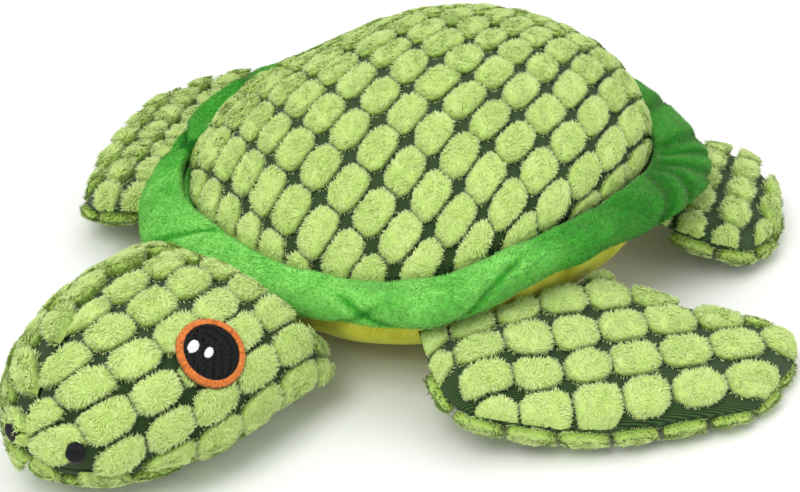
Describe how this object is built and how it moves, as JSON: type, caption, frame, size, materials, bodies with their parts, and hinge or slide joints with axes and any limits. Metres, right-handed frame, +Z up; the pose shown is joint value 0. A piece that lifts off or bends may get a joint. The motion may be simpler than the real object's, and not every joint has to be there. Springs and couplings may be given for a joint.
{
  "type": "plush turtle dog toy",
  "caption": "Stuffed plush sea turtle with a domed tufted shell, a padded rim, flippers and a head that flex at their sewn seams, a short-pile belly and embroidered eyes.",
  "frame": {"origin": "centre of the toy's overall box, on the floor that it lies on", "axes": "+Z up, -Y toward the nose, +X toward the turtle's left side"},
  "size_m": [0.3344, 0.3452, 0.087],
  "materials": {
    "tufted_plush": "raised light yellow-green tufts on a dark green ribbed backing",
    "rim_plush": "bright green short pile with a soft sheen",
    "belly_plush": "yellow short pile",
    "stuffing": "white polyester fibre fill",
    "orange_thread": "satin-stitch embroidery",
    "black_thread": "satin-stitch embroidery",
    "white_thread": "satin-stitch embroidery",
    "squeaker_plastic": "soft blow-moulded plastic",
    "reed_plastic": "hard moulded plastic"
  },
  "bodies": {
    "body": {"shell_cover": "tufted_plush", "belly_panel": "belly_plush", "shell_stuffing": "stuffing", "belly_stuffing": "stuffing", "squeaker_body": "squeaker_plastic", "squeaker_reed": "reed_plastic", "rim_cover": "rim_plush", "rim_stuffing": "stuffing"},
    "head": {"head_left_panel": "tufted_plush", "head_right_panel": "tufted_plush", "chin_panel": "tufted_plush", "head_stuffing": "stuffing", "left_eye_ring": "orange_thread", "left_eye_pupil": "black_thread", "left_eye_highlight_big": "white_thread", "left_eye_highlight_small": "white_thread", "left_nostril": "black_thread", "right_eye_ring": "orange_thread", "right_eye_pupil": "black_thread", "right_eye_highlight_big": "white_thread", "right_eye_highlight_small": "white_thread", "right_nostril": "black_thread"},
    "front_left_flipper": {"front_left_flipper_top_panel": "tufted_plush", "front_left_flipper_bottom_panel": "tufted_plush", "front_left_flipper_stuffing": "stuffing"},
    "front_right_flipper": {"front_right_flipper_top_panel": "tufted_plush", "front_right_flipper_bottom_panel": "tufted_plush", "front_right_flipper_stuffing": "stuffing"},
    "rear_left_flipper": {"rear_left_flipper_top_panel": "tufted_plush", "rear_left_flipper_bottom_panel": "tufted_plush", "rear_left_flipper_stuffing": "stuffing"},
    "rear_right_flipper": {"rear_right_flipper_top_panel": "tufted_plush", "rear_right_flipper_bottom_panel": "tufted_plush", "rear_right_flipper_stuffing": "stuffing"}
  },
  "joints": [
    {"name": "neck_seam", "type": "hinge", "parent": "body", "child": "head", "pos_m": [-0.00281, -0.06282, 0.03], "axis": [0.9969, 0.0785, 0], "range_deg": [-7.5, 25]},
    {"name": "front_left_seam", "type": "hinge", "parent": "body", "child": "front_left_flipper", "pos_m": [0.07417, 0.00101, 0.032], "axis": [0.3351, 0.9422, 0], "range_deg": [-14, 40]},
    {"name": "front_right_seam", "type": "hinge", "parent": "body", "child": "front_right_flipper", "pos_m": [-0.08252, 0.00877, 0.027], "axis": [0.2556, -0.9668, 0], "range_deg": [-14, 40]},
    {"name": "rear_left_seam", "type": "hinge", "parent": "body", "child": "rear_left_flipper", "pos_m": [0.05678, 0.10587, 0.028], "axis": [-0.7369, 0.6761, 0], "range_deg": [-17, 45]},
    {"name": "rear_right_seam", "type": "hinge", "parent": "body", "child": "rear_right_flipper", "pos_m": [-0.06239, 0.10587, 0.028], "axis": [-0.7369, -0.6761, 0], "range_deg": [-17, 45]}
  ]
}
